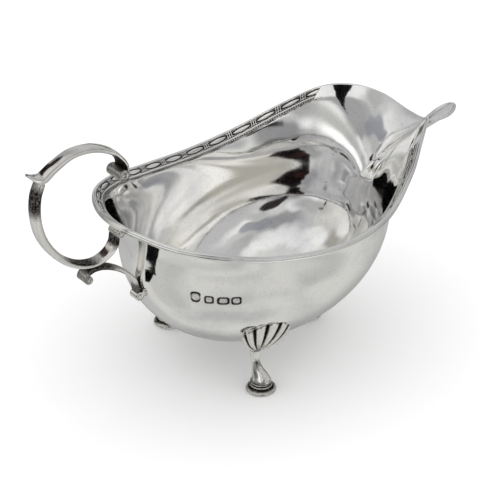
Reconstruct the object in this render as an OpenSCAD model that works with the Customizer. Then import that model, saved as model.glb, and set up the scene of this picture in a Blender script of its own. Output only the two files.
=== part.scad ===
// Silver sauce boat: a raised oval bowl drawn out into a helmet spout with a
// small pouring lip, an applied ornamental border, a half-round rim wire,
// a double scroll handle with a bracket, and three shell and pad feet.
// +X points to the lip, +Z is up, and Z = 0 is the table under the foot pads.
// The X-Z plane is the plane of symmetry.

/* [Bowl] */
// Middle of the oval body along X
body_x = -0.8; // [-4:0.2:4]
// Half length of the oval body inside
body_half_l = 45.2; // [40:0.2:50]
// Half width of the oval body inside
body_half_w = 34.8; // [30:0.2:38]
// Height of the lowest point inside the bowl
body_low = 8; // [7:0.5:14]
// Height where the wall stands upright
body_waist = 43; // [38:0.5:46]
// How far the lowest point lies behind the middle of the body
body_low_back = 4; // [0:0.5:8]
// Thickness of the sheet
sheet = 0.8; // [0.7:0.1:1.4]
// Width of the turned-out flange that carries the border
flange_w = 4; // [3:0.25:5]
// Width of the turned-out edge at the lip
lip_flange_w = 0.9; // [0.6:0.1:1.5]

/* [Rim wire and border] */
// Height of the half-round wire
wire_h = 1.3; // [1:0.1:2]
// How far the wire stands proud of the sheet
wire_out = 0.8; // [0.5:0.1:1.4]
// Part of the wire's size that is left at the lip
wire_lip_scale = 0.4; // [0.3:0.05:0.8]
// Width of the border strip
border_w = 3.6; // [2:0.1:3.7]
// Thickness of the border strip
border_t = 0.35; // [0.3:0.05:0.8]
// Plain edge left between the border strip and the rim's edge
border_inset = 0.2; // [0.1:0.1:0.6]

/* [Handle] */
// Width of the scrolls along Y at their ends
handle_end_w = 6.6; // [5:0.2:8]
// Width of the scrolls along Y at mid length
handle_mid_w = 4; // [3:0.2:5]
// Radius of the roll at the top scroll's free end
top_roll_r = 1.9; // [1.5:0.1:2.5]
// Radius of the rolls that meet the bowl
joint_roll_r = 1.5; // [1.2:0.1:2]

/* [Feet] */
// Distance of the two back feet from the plane of symmetry
back_foot_y = 24.2; // [20:0.2:28]
// Place of the back feet along X
back_foot_x = -17.7; // [-24:0.2:-10]
// Place of the front foot along X
front_foot_x = 21; // [18:0.2:24]
// Radius of the foot pad
pad_r = 4.7; // [4:0.1:6]
// Height of the foot pad up to its collar
pad_h = 3.2; // [2.5:0.1:4]
// Height of the back legs' tops, where they meet their shells
back_leg_top = 14.4; // [12:0.1:16]
// Height of the front leg's top
front_leg_top = 9.4; // [8:0.1:11]

/* [Hidden] */
$fn = 48;

// Rim stations from the back to the lip along the +Y half:
// [x, half width, height, bearing of the body wall below, slope of the flange]
rim = [
    [-54.7, 0, 62.4, 180, 40],
    [-47.5, 19.4, 59.8, 146, 40],
    [-35, 30.2, 57, 125, 40],
    [-18, 35.8, 53.4, 105, 40],
    [2, 38.3, 51.6, 81, 40],
    [20, 36.9, 54, 59, 42],
    [35, 30.6, 61, 44, 43],
    [45, 23.8, 66.4, 33, 42],
    [53, 17.2, 67.2, 23, 42],
    [60, 10.8, 64.5, 15, 42],
    [66, 4.5, 59, 9.5, 41],
    [70, 1.4, 56.2, 6.4, 40],
    [73.2, 2.1, 56.1, 4.4, 39],
    [77.2, 2.8, 56.8, 2.8, 36],
    [80.8, 2, 57.8, 1.3, 26],
    [82.3, 0, 58.2, 0, 10]
];
rim_last = len(rim) - 1;
// Stations between which the flange and the wire grow slimmer towards the lip
lip_from = 8;
lip_to = 12;
// The border strip ends here, and its point is this long, in stations
border_end = 7;
border_point = 0.33;

samples = 3;             // samples of the rim for each station
body_rows = 8;           // rows of the bowl from its lowest point to the waist
wall_rows = 6;           // rows from the waist to the flange
half_n = rim_last * samples;
loop_n = 2 * half_n;
rows = body_rows + wall_rows + 3;

function blend(a, b, k) = a + (b - a) * k;
function ease(from, to, x) =
    let (k = min(1, max(0, (x - from) / (to - from)))) k * k * (3 - 2 * k);
function unit(v) = v / norm(v);

// ---- smooth line through stations ----
function spline(p0, p1, p2, p3, k) =
    0.5 * (2 * p1 + (p2 - p0) * k + (2 * p0 - 5 * p1 + 4 * p2 - p3) * k * k
    + (3 * p1 - p0 - 3 * p2 + p3) * k * k * k);

// A rim station, mirrored past the back and past the lip
function rim_station(i) =
    i < 0 ? [rim[-i][0], -rim[-i][1], rim[-i][2], 360 - rim[-i][3], rim[-i][4]] :
    i > rim_last ? let (m = rim[2 * rim_last - i]) [m[0], -m[1], m[2], -m[3], m[4]] :
    rim[i];
function rim_at(t) =
    let (i = min(floor(t), rim_last - 1))
    spline(rim_station(i - 1), rim_station(i), rim_station(i + 1), rim_station(i + 2), t - i);
// Direction in plan, square to the rim and away from the bowl
function rim_out(t) =
    t <= 0 ? [-1, 0] :
    t >= rim_last ? [1, 0] :
    let (d = rim_at(min(t + 0.01, rim_last)) - rim_at(max(t - 0.01, 0)))
    unit([-d[1], d[0]]);
// Direction up the flange, towards its edge
function flange_dir(t) =
    let (o = rim_out(t), a = rim_at(t)[4]) [o[0] * cos(a), o[1] * cos(a), sin(a)];
// Direction square to the flange, out and down
function flange_out(t) =
    let (o = rim_out(t), a = rim_at(t)[4]) [o[0] * sin(a), o[1] * sin(a), -cos(a)];
function rim_point(t) = let (r = rim_at(t)) [r[0], max(0, r[1]), r[2]];
pole_x = body_x - body_low_back;
function lip_share(t) = ease(lip_from, lip_to, t);
function flange_at(t) = blend(flange_w, lip_flange_w, lip_share(t));

// ---- inner face of the bowl ----
// One column of points from the lowest point of the bowl up to the rim's edge. Above
// the waist it leaves upright and spreads towards the flange.
function column(t) =
    let (
        r = rim_at(t),
        edge = rim_point(t),
        dir = flange_dir(t),
        foot = edge - flange_at(t) * dir,
        waist = [body_x + body_half_l * cos(r[3]), body_half_w * sin(r[3]), body_waist],
        lip = lip_share(t)
    )
    concat(
        [for (k = [1 : body_rows - 1]) let (s = 90 * k / body_rows)
            [blend(pole_x, waist[0], sin(s)), waist[1] * sin(s),
             blend(body_low, body_waist, 1 - cos(s))]],
        [for (k = [0 : wall_rows])
            let (
                s = k / wall_rows,
                side_y = blend(waist[1], foot[1], s * s),
                spout_y = waist[1] * pow(1 - s, 1.5) + foot[1] * pow(s, 3)
            )
            [blend(waist[0], foot[0], pow(s, 2 - 0.4 * lip)), blend(side_y, spout_y, lip),
             blend(waist[2], foot[2], s)]],
        [edge - 0.5 * flange_at(t) * dir, edge]
    );
half_columns = [for (i = [0 : half_n]) column(i / samples)];
function mirrored(p) = [p[0], -p[1], p[2]];
// All columns, from the back along +Y to the lip and home along -Y
columns = [for (i = [0 : loop_n - 1])
    i <= half_n ? half_columns[i] : [for (p = half_columns[loop_n - i]) mirrored(p)]];
function grid(i, k) = columns[(i + loop_n) % loop_n][k];
// Direction square to the sheet, out of the bowl
function sheet_out(i, k) =
    let (
        along = grid(i + 1, k) - grid(i - 1, k),
        up = grid(i, min(k + 1, rows - 2)) - grid(i, max(k - 1, 0))
    )
    unit(cross(up, along));

module bowl() {
    inner = [for (i = [0 : loop_n - 1]) for (k = [0 : rows - 2]) grid(i, k)];
    outer = [for (i = [0 : loop_n - 1]) for (k = [0 : rows - 2])
        grid(i, k) + sheet * sheet_out(i, k)];
    row = rows - 1;
    inner_pole = 2 * loop_n * row;
    outer_pole = inner_pole + 1;
    function at(i, k, side) = side * loop_n * row + (i % loop_n) * row + k;
    faces = concat(
        [for (i = [0 : loop_n - 1]) for (k = [0 : row - 2])
            each [[at(i, k, 0), at(i + 1, k, 0), at(i + 1, k + 1, 0)],
                  [at(i, k, 0), at(i + 1, k + 1, 0), at(i, k + 1, 0)],
                  [at(i, k, 1), at(i + 1, k + 1, 1), at(i + 1, k, 1)],
                  [at(i, k, 1), at(i, k + 1, 1), at(i + 1, k + 1, 1)]]],
        [for (i = [0 : loop_n - 1])
            each [[at(i, row - 1, 0), at(i + 1, row - 1, 0), at(i + 1, row - 1, 1)],
                  [at(i, row - 1, 0), at(i + 1, row - 1, 1), at(i, row - 1, 1)],
                  [inner_pole, at(i + 1, 0, 0), at(i, 0, 0)],
                  [outer_pole, at(i, 0, 1), at(i + 1, 0, 1)]]]
    );
    color("silver")
    polyhedron(concat(inner, outer, [[pole_x, 0, body_low], [pole_x, 0, body_low - sheet]]), faces);
}

// ---- rods and strips swept through sections ----
// Closed loop of sections, each a ring of the same number of points
module swept_ring(sections) {
    n = len(sections);
    m = len(sections[0]);
    polyhedron(
        [for (s = sections) for (p = s) p],
        [for (i = [0 : n - 1]) for (j = [0 : m - 1])
            let (a = i * m + j, b = i * m + (j + 1) % m,
                 c = ((i + 1) % n) * m + (j + 1) % m, d = ((i + 1) % n) * m + j)
            each [[a, b, c], [a, c, d]]]
    );
}
// Open row of sections with closed ends
module swept_bar(sections) {
    n = len(sections);
    m = len(sections[0]);
    polyhedron(
        [for (s = sections) for (p = s) p],
        concat(
            [for (i = [0 : n - 2]) for (j = [0 : m - 1])
                let (a = i * m + j, b = i * m + (j + 1) % m)
                each [[a, b, b + m], [a, b + m, a + m]]],
            [[for (j = [m - 1 : -1 : 0]) j], [for (j = [0 : m - 1]) (n - 1) * m + j]]
        )
    );
}

// Frame of the loop at sample i: [edge, up the flange, out of the flange, size]
function loop_frame(i) =
    let (
        near = i > half_n,
        t = (near ? loop_n - i : i) / samples,
        size = blend(1, wire_lip_scale, lip_share(t)),
        p = rim_point(t), d = flange_dir(t), o = flange_out(t)
    )
    near ? [mirrored(p), mirrored(d), mirrored(o), size] : [p, d, o, size];

// Half-round wire under the rim's edge, its flat side on the sheet
module rim_wire() {
    arc_steps = 5;
    color("gainsboro")
    swept_ring([for (i = [0 : loop_n - 1])
        let (f = loop_frame(i), foot = grid(i, rows - 2) + sheet * sheet_out(i, rows - 2))
        [for (j = [arc_steps : -1 : 0]) let (a = 180 * j / arc_steps)
            foot - f[1] * f[3] * wire_h * (1 - cos(a)) / 2 + f[2] * f[3] * wire_out * sin(a)]
    ]);
}

// Applied ornamental strip on the flange, from shoulder to shoulder round the back
module border_strip() {
    end_i = floor(border_end * samples);
    point_i = max(1, round(border_point * samples));
    function share(i) = (end_i - abs(i)) / point_i;
    color("lightgray")
    swept_bar([for (i = [-end_i : end_i])
        let (
            f = loop_frame((i + loop_n) % loop_n),
            half = max(0.15, min(1, share(i))) * border_w / 2,
            mid = f[0] - f[1] * (border_inset + half),
            lift = -f[2] * border_t
        )
        [mid + f[1] * half, mid + f[1] * half * 0.8 + lift,
         mid - f[1] * half * 0.8 + lift, mid - f[1] * half]
    ]);
}

// ---- handle ----
// Stations of a scroll in the X-Z plane: [x, z, width along Y, thickness]
function scroll_station(path, i) =
    i < 0 ? 2 * path[0] - path[1] :
    i >= len(path) ? 2 * path[len(path) - 1] - path[len(path) - 2] : path[i];
function scroll_at(path, t) =
    let (i = min(floor(t), len(path) - 2))
    spline(scroll_station(path, i - 1), scroll_station(path, i),
           scroll_station(path, i + 1), scroll_station(path, i + 2), t - i);
// Bar with a flat inner face and a crowned outer face; side = 1 crowns to the left
module scroll_bar(path, side) {
    steps = 4;
    n = (len(path) - 1) * steps;
    swept_bar([for (i = [0 : n])
        let (
            t = i / steps,
            s = scroll_at(path, t),
            d = scroll_at(path, min(t + 0.05, len(path) - 1)) - scroll_at(path, max(t - 0.05, 0)),
            across = unit([-d[1], 0, d[0]]) * side,
            p = [s[0], 0, s[1]], w = s[2] / 2, h = s[3] / 2,
            ring = [[w, -h], [w, 0.3 * h], [0.55 * w, h], [-0.55 * w, h], [-w, 0.3 * h], [-w, -h]],
            turn = side > 0 ? [5 : -1 : 0] : [0 : 5]
        )
        [for (j = turn) p + [0, ring[j][0], 0] + across * ring[j][1]]
    ]);
}
module roll(x, z, r, w) {
    translate([x, w / 2, z])
    rotate([90, 0, 0])
    cylinder(r = r, h = w);
}

top_roll_at = [-51.6, 77.2];
// Top scroll: from the roll over the bowl's back, over the top and down to the spur
top_path = [
    [-49.9, 77.7, handle_end_w, 1.3],
    [-50.6, 81, handle_end_w - 0.5, 1.5],
    [-54.2, 85, handle_mid_w + 0.6, 1.7],
    [-60.4, 87.9, handle_mid_w, 1.9],
    [-67.4, 88.4, handle_mid_w, 2],
    [-73.3, 86.2, handle_mid_w, 2.3],
    [-77.4, 83.9, handle_mid_w + 0.2, 2.4],
    [-79.6, 84.4, handle_mid_w, 1.8],
    [-81.9, 86, 2.4, 0.8]
];
// Lower scroll: from under the spur round the hand and up to the bowl
lower_path = [
    [-78.3, 82.8, handle_mid_w, 2.2],
    [-80, 78.4, handle_mid_w, 2.4],
    [-80.4, 72.5, handle_mid_w, 2.4],
    [-79.2, 66, handle_mid_w, 2.4],
    [-76.2, 60.2, handle_mid_w, 2.3],
    [-71.6, 54.9, handle_mid_w, 2.2],
    [-66.4, 51.5, handle_mid_w, 2],
    [-61, 50.4, handle_mid_w, 1.8],
    [-56.6, 51.8, handle_mid_w + 0.2, 1.7],
    [-54.2, 54.3, handle_mid_w + 0.4, 1.6],
    [-53.6, 57, handle_mid_w + 0.4, 1.5]
];
lower_roll_at = [-52.9, 58];
// Bracket: from its hanging curl along the lower scroll and down to the bowl's side
bracket_path = [
    [-65.7, 46.2, handle_mid_w + 0.8, 1.2],
    [-64.9, 47.9, handle_mid_w + 0.6, 1.4],
    [-62.6, 48.7, handle_mid_w, 1.5],
    [-60.3, 48.6, handle_mid_w - 0.2, 1.5],
    [-57.9, 47.9, handle_mid_w - 0.6, 1.5],
    [-55.3, 46.7, handle_mid_w - 0.8, 1.5],
    [-52.6, 45, handle_mid_w - 0.8, 1.4],
    [-50, 42.7, handle_mid_w - 0.8, 1.4],
    [-48, 40.3, handle_mid_w - 0.8, 1.3],
    [-47, 37.8, handle_mid_w - 0.8, 1.3],
    [-46.6, 35, handle_mid_w - 0.8, 1.2]
];
bracket_curl_at = [-64.6, 46.3];
bracket_roll_at = [-46.3, 33.6];

module handle_top_scroll() {
    color("silver") {
        scroll_bar(top_path, -1);
        roll(top_roll_at[0], top_roll_at[1], top_roll_r, handle_end_w + 0.4);
    }
}
module handle_lower_scroll() {
    color("silver") {
        scroll_bar(lower_path, -1);
        roll(lower_roll_at[0], lower_roll_at[1], joint_roll_r - 0.1, handle_mid_w + 0.8);
    }
}
module handle_bracket() {
    color("silver") {
        scroll_bar(bracket_path, 1);
        roll(bracket_curl_at[0], bracket_curl_at[1], joint_roll_r - 0.2, handle_mid_w + 1);
        roll(bracket_roll_at[0], bracket_roll_at[1], joint_roll_r, handle_mid_w - 0.4);
    }
}

// ---- feet ----
// Outer face of the body below the waist, as half axes and centre
body_axes = [body_half_l + sheet, body_half_w + sheet, body_waist - body_low + sheet];
body_mid = [body_x - body_low_back / 2, 0, body_waist];
function scaled(v) = [v[0] / body_axes[0], v[1] / body_axes[1], v[2] / body_axes[2]];
// Point of the body's outer face that is met from p along direction d
function onto_body(p, d) =
    let (a = scaled(p - body_mid), b = scaled(d), ab = a * b, bb = b * b)
    p + d * ((-ab + sqrt(ab * ab - bb * (a * a - 1))) / bb);

// Scalloped shell that joins the top of a leg to the body. The lobes meet at the leg
// and fan out over the body.
shell_lobes = 7;
shell_spread = 208;
shell_reach = 7.8;
shell_taller = 1;
shell_side_bulge = 1.8;
shell_bulge = 3;
shell_edge = 0.8;
module foot_shell(x, y, turn, top, lean) {
    lobe_steps = 4;
    ring_steps = 5;
    toe = [cos(turn), sin(turn), 0];
    hinge = [x, y, top - 0.6] - 1.1 * toe;
    anchor = onto_body([x + 1.6, y, body_waist], [0, 0, -1]);
    out = unit(scaled(scaled(anchor - body_mid)));
    level = unit(cross([0, 0, 1], out));
    rise = cross(out, level);
    up = rise * cos(lean) + level * sin(lean);
    side = level * cos(lean) - rise * sin(lean);
    n = shell_lobes * lobe_steps;
    function ray(j) = shell_spread * (j / n - 0.5);
    function lobe(j) = sqrt(abs(sin(180 * j / lobe_steps)));
    function reach(j) = (shell_reach + shell_taller * cos(ray(j))) * (0.92 + 0.08 * lobe(j));
    // Where ray j ends on the body
    function tip(j) =
        onto_body(anchor + reach(j) * (side * sin(ray(j)) + up * cos(ray(j))) - 3 * out, out);
    function bow(a, mid, b, q) = (1 - q) * (1 - q) * a + 2 * q * (1 - q) * mid + q * q * b;
    function skin(q, j) =
        bow(hinge, (hinge + tip(j)) / 2 + out * shell_bulge * (0.6 + 0.4 * lobe(j))
                + side * shell_side_bulge * sin(ray(j)),
            tip(j) + out * shell_edge * (0.5 + 0.5 * lobe(j)), q);
    function back(q, j) =
        bow(hinge - 0.8 * out, anchor, tip(j) - 0.2 * out, q);
    m = ring_steps + 1;
    u = (n + 1) * m;
    top_face = [for (j = [0 : n]) for (k = [0 : ring_steps]) skin(0.1 + 0.9 * k / ring_steps, j)];
    back_face = [for (j = [0 : n]) for (k = [0 : ring_steps]) back(0.1 + 0.9 * k / ring_steps, j)];
    faces = concat(
        [for (j = [0 : n - 1]) for (k = [0 : ring_steps - 1])
            let (a = j * m + k, b = a + 1, c = a + m + 1, d = a + m)
            each [[a, b, c], [a, c, d], [a + u, c + u, b + u], [a + u, d + u, c + u]]],
        [for (j = [0 : n - 1])
            let (a = j * m, d = a + m, b = a + ring_steps, c = b + m)
            each [[a, d, d + u], [a, d + u, a + u], [b, b + u, c + u], [b, c + u, c]]],
        [for (k = [0 : ring_steps - 1])
            let (a = k, b = k + 1, c = n * m + k, d = c + 1)
            each [[a, a + u, b + u], [a, b + u, b], [c, d, d + u], [c, d + u, c + u]]]
    );
    color("silver")
    polyhedron(concat(top_face, back_face), faces);
}

// Leg from its pad up to the shell. The toe points along +X before turning.
// Sections: [offset towards the toe, share of the height, half length, half width]
leg_path = [
    [-0.1, 0, 3.4, 3],
    [0.1, 0.1, 3.2, 2.6],
    [-0.5, 0.24, 2.7, 2],
    [-1.7, 0.45, 1.7, 1.5],
    [-2.2, 0.7, 1.4, 1.4],
    [-2, 1, 1.8, 2]
];
module foot_leg(x, y, turn, top) {
    sides = 10;
    color("silver")
    translate([x, y, 0])
    rotate(turn)
    swept_bar([for (s = leg_path)
        [for (j = [0 : sides - 1]) let (a = 360 * j / sides)
            [s[0] + s[2] * cos(a), s[3] * sin(a), blend(pad_h, top, s[1])]]]);
}
// Turned pad with a rounded edge and two collar rings
module foot_pad(x, y) {
    color("silver")
    translate([x, y, 0])
    rotate_extrude()
    polygon(concat(
        [[0, 0], [pad_r - 0.5, 0]],
        [for (a = [-60 : 20 : 60]) [pad_r - 0.6 + 0.6 * cos(a), 0.65 + 0.6 * sin(a)]],
        [[pad_r - 1, 1.6], [pad_r - 1.5, 1.9]],
        [for (a = [-60 : 30 : 90]) [pad_r - 1.5 + 0.3 * cos(a), 2.2 + 0.3 * sin(a)]],
        [[pad_r - 1.7, 2.55]],
        [for (a = [-60 : 30 : 90]) [pad_r - 1.8 + 0.3 * cos(a), 2.9 + 0.3 * sin(a)]],
        [[0, pad_h]]
    ));
}

back_foot_turn = -72;
back_shell_lean = 8;
module near_foot_shell() {
    foot_shell(back_foot_x, -back_foot_y, back_foot_turn, back_leg_top, back_shell_lean);
}
module far_foot_shell() { mirror([0, 1, 0]) near_foot_shell(); }
module front_foot_shell() { foot_shell(front_foot_x, 0, 0, front_leg_top, 0); }
module near_foot_leg() { foot_leg(back_foot_x, -back_foot_y, back_foot_turn, back_leg_top); }
module far_foot_leg() { mirror([0, 1, 0]) near_foot_leg(); }
module front_foot_leg() { foot_leg(front_foot_x, 0, 0, front_leg_top); }
module near_foot_pad() { foot_pad(back_foot_x, -back_foot_y); }
module far_foot_pad() { foot_pad(back_foot_x, back_foot_y); }
module front_foot_pad() { foot_pad(front_foot_x, 0); }

bowl();
rim_wire();
border_strip();
handle_top_scroll();
handle_lower_scroll();
handle_bracket();
near_foot_shell();
near_foot_leg();
near_foot_pad();
far_foot_shell();
far_foot_leg();
far_foot_pad();
front_foot_shell();
front_foot_leg();
front_foot_pad();
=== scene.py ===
"""Silver sauce boat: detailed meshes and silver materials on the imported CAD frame."""
import math

import bmesh
import bpy
import numpy as np
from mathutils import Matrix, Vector


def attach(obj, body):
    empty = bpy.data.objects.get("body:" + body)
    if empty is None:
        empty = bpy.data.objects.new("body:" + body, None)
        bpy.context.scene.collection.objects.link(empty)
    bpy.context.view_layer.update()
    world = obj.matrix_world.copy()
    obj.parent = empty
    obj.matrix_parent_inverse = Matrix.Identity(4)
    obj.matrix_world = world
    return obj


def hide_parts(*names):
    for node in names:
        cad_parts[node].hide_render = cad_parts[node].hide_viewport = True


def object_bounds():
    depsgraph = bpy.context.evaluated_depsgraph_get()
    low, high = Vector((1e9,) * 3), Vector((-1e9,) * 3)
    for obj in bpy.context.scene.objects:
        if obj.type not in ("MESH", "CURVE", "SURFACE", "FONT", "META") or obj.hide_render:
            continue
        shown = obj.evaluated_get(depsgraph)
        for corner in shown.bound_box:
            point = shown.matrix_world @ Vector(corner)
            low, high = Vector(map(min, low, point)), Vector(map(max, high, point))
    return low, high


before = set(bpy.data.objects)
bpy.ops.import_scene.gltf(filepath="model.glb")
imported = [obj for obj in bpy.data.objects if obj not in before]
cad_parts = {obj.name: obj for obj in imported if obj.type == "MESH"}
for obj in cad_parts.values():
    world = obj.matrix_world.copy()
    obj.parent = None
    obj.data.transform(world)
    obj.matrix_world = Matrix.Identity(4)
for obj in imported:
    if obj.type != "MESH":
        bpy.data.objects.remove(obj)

CAD_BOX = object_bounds()
MM = 0.001

# ---------------------------------------------------------------- the boat's sizes, in mm
# They repeat part.scad, so that every piece lies where its CAD node lies.
BODY_X, HALF_L, HALF_W = -0.8, 45.2, 34.8
LOW, WAIST, LOW_BACK = 8.0, 43.0, 4.0
SHEET = 0.8
FLANGE, LIP_FLANGE = 4.0, 0.9
# Rim stations between which the back's wall turns into the front's, and the front's into the lip's
FRONT_FROM, FRONT_TO = 6, 9
LIP_FROM, LIP_TO = 8, 12
WIRE_H, WIRE_OUT, WIRE_SUNK, WIRE_LIP = 1.3, 0.8, 0.12, 0.4
BORDER_W, BORDER_INSET, BORDER_END = 3.6, 0.2, 7.0
# Rim stations from the back to the lip: x, half width, height, bearing of the wall, flange slope
RIM = np.array([
    [-54.7, 0, 62.4, 180, 40], [-47.5, 19.4, 59.8, 146, 40], [-35, 30.2, 57, 125, 40],
    [-18, 35.8, 53.4, 105, 40], [2, 38.3, 51.6, 81, 40], [20, 36.9, 54, 59, 42],
    [35, 30.6, 61, 44, 43], [45, 23.8, 66.4, 33, 42], [53, 17.2, 67.2, 23, 42],
    [60, 10.8, 64.5, 15, 42], [66, 4.5, 59, 9.5, 41], [70, 1.4, 56.2, 6.4, 40],
    [73.2, 2.1, 56.1, 4.4, 39], [77.2, 2.8, 56.8, 2.8, 36], [80.8, 2, 57.8, 1.3, 26],
    [82.3, 0, 58.2, 0, 10],
])
LAST = len(RIM) - 1
HANDLE_END_W, HANDLE_MID_W = 6.6, 4.0
BACK_FOOT, FRONT_FOOT_X = (-17.7, 24.2), 21.0
PAD_R, PAD_H = 4.7, 3.2
BACK_LEG_TOP, FRONT_LEG_TOP = 14.4, 9.4
BACK_TURN, BACK_LEAN = -72, 8

# Distances below the rim's edge of the bowl's highest rows, and how far under them the rows
# that are spaced by shares end
TOP_ROWS = np.array([5, 4.75, 4.5, 4.3, 4.1, 3.9, 3.7, 3.5, 3.1, 2.6, 2, 1.4, 0.9, 0.4, 0])
TOP_GAP = 0.8


# ---------------------------------------------------------------- curves and the bowl's walls
def ease(lo, hi, x):
    """0 below lo, 1 above hi, and a smooth step between them."""
    k = np.clip((np.asarray(x, float) - lo) / (hi - lo), 0, 1)
    return k * k * (3 - 2 * k)


def unit(v):
    """The vectors with length 1."""
    v = np.asarray(v, float)
    return v / np.maximum(np.linalg.norm(v, axis=-1, keepdims=True), 1e-12)


def spline(p, t):
    """Catmull-Rom through the rows of p, whose first and last rows are only guides."""
    t = np.atleast_1d(np.asarray(t, float))
    i = np.clip(np.floor(t).astype(int), 0, len(p) - 4)
    k = (t - i)[:, None]
    a, b, c, d = p[i], p[i + 1], p[i + 2], p[i + 3]
    return 0.5 * (2 * b + (c - a) * k + (2 * a - 5 * b + 4 * c - d) * k ** 2
                  + (3 * b - a - 3 * c + d) * k ** 3)


RIM_GUIDED = np.vstack([RIM[1] * [1, -1, 1, -1, 1] + [0, 0, 0, 360, 0], RIM,
                        RIM[LAST - 1] * [1, -1, 1, -1, 1]])


def rim_at(t):
    """Rim values at places t, counted in stations from the back, on the +Y half."""
    r = spline(RIM_GUIDED, np.abs(t))
    r[:, 1] = np.maximum(r[:, 1], 0)
    return r


def rim_frame(t):
    """Edge point, direction up the flange and direction out of the flange. A negative t is
    on the -Y half."""
    t = np.atleast_1d(np.asarray(t, float))
    side = np.where(t < 0, -1.0, 1.0)
    u = np.abs(t)
    r = rim_at(u)
    d = rim_at(np.minimum(u + 0.01, LAST)) - rim_at(np.maximum(u - 0.01, 0))
    out = unit(np.stack([-d[:, 1], d[:, 0]], 1))
    out[u <= 1e-9] = [-1, 0]
    out[u >= LAST - 1e-9] = [1, 0]
    a = np.radians(r[:, 4])
    flip = np.stack([np.ones_like(side), side, np.ones_like(side)], 1)
    up = np.stack([out[:, 0] * np.cos(a), out[:, 1] * np.cos(a), np.sin(a)], 1) * flip
    away = np.stack([out[:, 0] * np.sin(a), out[:, 1] * np.sin(a), -np.cos(a)], 1) * flip
    return r[:, :3] * flip, up, away


def flange_at(t):
    """Width of the flange at rim places t."""
    return FLANGE + (LIP_FLANGE - FLANGE) * ease(LIP_FROM, LIP_TO, np.abs(t))


def smooth_profile(points, rows, softness, top=None):
    """The profile with its bends rounded over about softness mm and its two ends kept, given
    again at the shares of its length in rows. With top, the rows share the length below the
    top rows, and the distances before the profile's end in top follow them."""
    step = 0.12
    run = np.concatenate([[0], np.cumsum(np.linalg.norm(np.diff(points, axis=0), axis=1))])
    count = int(run[-1] / step) + 1
    even = np.linspace(0, run[-1], count)
    fine = np.stack([np.interp(even, run, points[:, k]) for k in range(3)], 1)
    reach = int(3 * softness / step) + 1
    kernel = np.exp(-0.5 * (np.arange(-reach, reach + 1) * step / softness) ** 2)
    kernel /= kernel.sum()
    before = 2 * fine[0] - fine[reach:0:-1]
    after = 2 * fine[-1] - fine[-2:-reach - 2:-1]
    padded = np.vstack([before, fine, after])
    soft = np.stack([np.convolve(padded[:, k], kernel, "valid") for k in range(3)], 1)
    if top is None:
        wanted = rows * run[-1]
    else:
        wanted = np.concatenate([rows * (run[-1] - top[0] - TOP_GAP), run[-1] - top])
    return np.stack([np.interp(wanted, even, soft[:, k]) for k in range(3)], 1)


def inner_column(t, rows):
    """Inner face of the bowl at rim place t, from just above the lowest point to the edge."""
    r = rim_at([t])[0]
    side = -1 if t < 0 else 1
    edge, up, _ = (v[0] for v in rim_frame([t]))
    foot = edge - float(flange_at(t)) * up
    b = math.radians(r[3])
    waist = np.array([BODY_X + HALF_L * math.cos(b), side * HALF_W * math.sin(b), WAIST])
    pole = BODY_X - LOW_BACK
    lip = float(ease(LIP_FROM, LIP_TO, abs(t)))
    front = float(ease(FRONT_FROM, FRONT_TO, abs(t)))
    # the round bottom, up to the waist
    s = np.radians(90 * np.arange(61) / 60)
    low = np.stack([pole + (waist[0] - pole) * np.sin(s), waist[1] * np.sin(s),
                    WAIST - (WAIST - LOW) * np.cos(s)], 1)
    # the wall from there to the flange, drawn in to a valley at the lip
    s = (np.arange(1, 41) / 40)[:, None]
    rise = np.hstack([s ** (2 + 0.4 * front - 0.8 * lip), s ** 2, s])
    wall = waist + (foot - waist) * rise
    valley = (waist * (1 - s) ** 1.5 + foot * s ** 3)[:, 1]
    wall[:, 1] += (valley - wall[:, 1]) * lip
    body = smooth_profile(np.vstack([low, wall]), np.arange(1, 91) / 90, softness=3.5)
    crease = 0.5 + 2 * front * (1 - lip)
    return smooth_profile(np.vstack([low[:1], body, edge]), rows, softness=crease, top=TOP_ROWS)


# ---------------------------------------------------------------- making pieces
def make(name, node, slot, material, verts, faces, oxide_and_shade):
    """A smooth-shaded piece of the boat, from points in mm, that stands for one CAD node. The last
    argument is the share of the dark colour at each point: oxide in hollows, and painted shade and dark
    reflections in places."""
    mesh = bpy.data.meshes.new(name)
    mesh.from_pydata((np.asarray(verts, float) * MM).tolist(), [], [list(f) for f in faces])
    mesh.validate(clean_customdata=False)
    mesh.materials.append(material)
    mesh.polygons.foreach_set("use_smooth", [True] * len(mesh.polygons))
    mesh.attributes.new("oxide_and_shade", "FLOAT", "POINT").data.foreach_set("value", oxide_and_shade.tolist())
    mesh.update()
    obj = bpy.data.objects.new(name, mesh)
    bpy.context.scene.collection.objects.link(obj)
    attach(obj, "root")
    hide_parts(node)
    return obj


def sharpen(obj, degrees):
    """Keeps the piece's edges that bend by more than this crisp."""
    mesh = obj.data
    bm = bmesh.new()
    bm.from_mesh(mesh)
    limit = math.radians(degrees)
    for e in bm.edges:
        e.smooth = len(e.link_faces) == 2 and e.calc_face_angle(0) < limit
    bm.to_mesh(mesh)
    bm.free()


def quads(n, m, loop_n=False, loop_m=False, start=0):
    """Faces of an n by m grid of points, closed to a loop in either direction."""
    faces = []
    for i in range(n if loop_n else n - 1):
        for j in range(m if loop_m else m - 1):
            a, b = i * m + j, i * m + (j + 1) % m
            c, d = ((i + 1) % n) * m + (j + 1) % m, ((i + 1) % n) * m + j
            faces.append((start + a, start + b, start + c, start + d))
    return faces


def turned_over(faces):
    """The faces seen from their other side."""
    return [tuple(reversed(f)) for f in faces]


def outward(verts, faces):
    """Faces turned so that the closed mesh's volume is positive."""
    v = np.asarray(verts, float)
    volume = 0.0
    for f in faces:
        for k in range(1, len(f) - 1):
            volume += np.dot(v[f[0]], np.cross(v[f[k]], v[f[k + 1]]))
    return faces if volume > 0 else turned_over(faces)


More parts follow.
